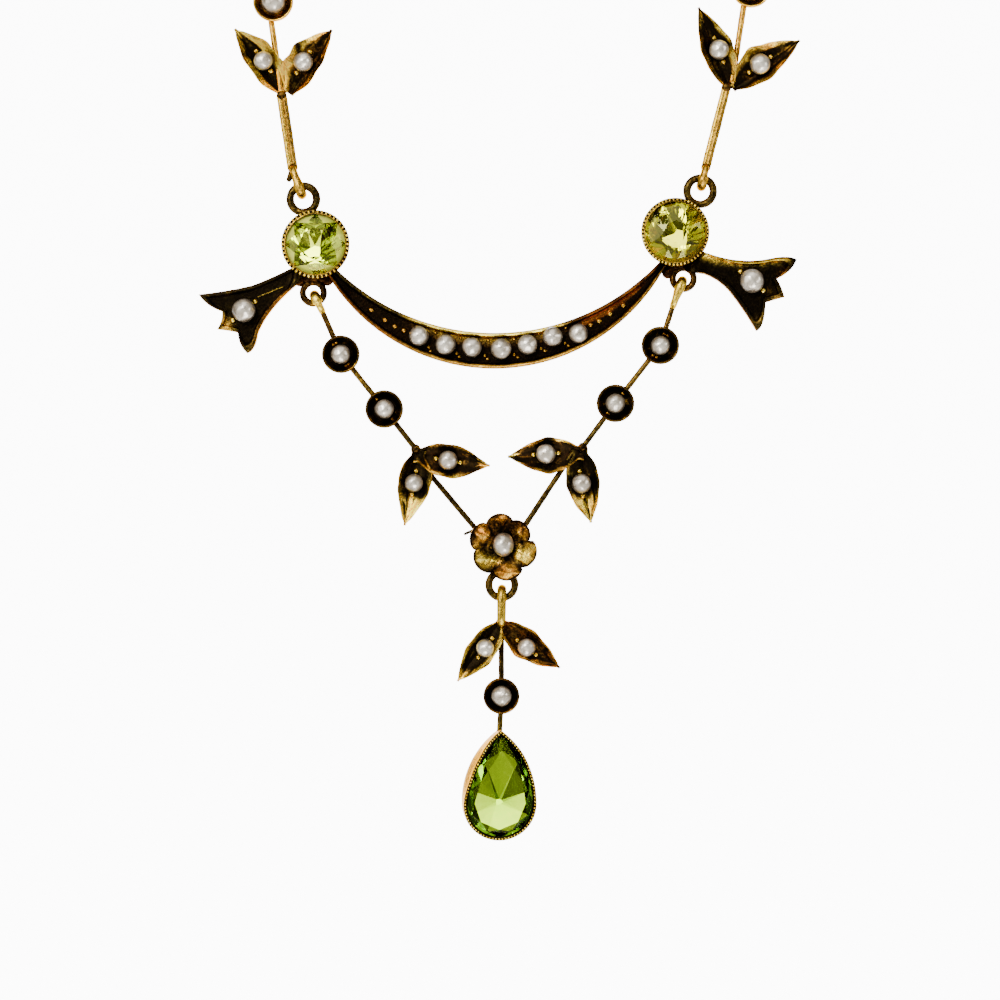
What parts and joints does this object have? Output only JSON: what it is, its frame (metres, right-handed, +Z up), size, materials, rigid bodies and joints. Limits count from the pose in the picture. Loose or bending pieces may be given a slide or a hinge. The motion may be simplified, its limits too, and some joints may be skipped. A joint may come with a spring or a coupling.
{
  "type": "festoon necklace",
  "caption": "Antique gold festoon necklace: a crescent bar between two green stones, a leafy garland with half pearls, a pear drop and a link chain, worn round the neck.",
  "frame": {"origin": "the nape: the middle of the clasp, where the necklace sits on the back of the neck", "axes": "+Z up as worn, the ornament faces -Y, +X to the right of someone who looks at the ornament"},
  "size_m": [0.116, 0.1156, 0.1452],
  "materials": {
    "gold": "oxidised yellow gold, dark brown in the recesses, bright on the cut rims",
    "chain_gold": "worn yellow gold, plain polished links",
    "peridot": "faceted yellow-green stone",
    "peridot_olive": "faceted olive-green stone",
    "pearl": "cream half pearl with a soft lustre"
  },
  "bodies": {
    "necklace": {"swag_frame": "gold", "side_link_left": "gold", "side_link_right": "gold", "chain_left": "chain_gold", "chain_right": "chain_gold", "clasp": "chain_gold", "round_peridot_left": "peridot", "round_peridot_right": "peridot_olive", "pearl_swag_1": "pearl", "pearl_swag_2": "pearl", "pearl_swag_3": "pearl", "pearl_swag_4": "pearl", "pearl_swag_5": "pearl", "pearl_swag_6": "pearl", "pearl_swag_7": "pearl", "pearl_tail_left": "pearl", "pearl_tail_right": "pearl", "pearl_side_left_1": "pearl", "pearl_side_left_2": "pearl", "pearl_side_left_3": "pearl", "pearl_side_right_1": "pearl", "pearl_side_right_2": "pearl", "pearl_side_right_3": "pearl"},
    "garland": {"garland_frame": "gold", "pearl_flower": "pearl", "pearl_arm_left_1": "pearl", "pearl_arm_left_2": "pearl", "pearl_arm_left_3": "pearl", "pearl_arm_left_4": "pearl", "pearl_arm_right_1": "pearl", "pearl_arm_right_2": "pearl", "pearl_arm_right_3": "pearl", "pearl_arm_right_4": "pearl"},
    "drop": {"drop_frame": "gold", "pear_peridot": "peridot", "pearl_drop_1": "pearl", "pearl_drop_2": "pearl", "pearl_drop_3": "pearl"}
  },
  "joints": [
    {"name": "garland_swing", "type": "hinge", "parent": "necklace", "child": "garland", "pos_m": [-0.00012, -0.1117, -0.09467], "axis": [0.9993, 0, 0.0387], "range_deg": [-25, 25]},
    {"name": "drop_swing", "type": "hinge", "parent": "garland", "child": "drop", "pos_m": [0.00017, -0.1117, -0.12074], "axis": [0, 1, 0], "range_deg": [-30, 30]}
  ]
}
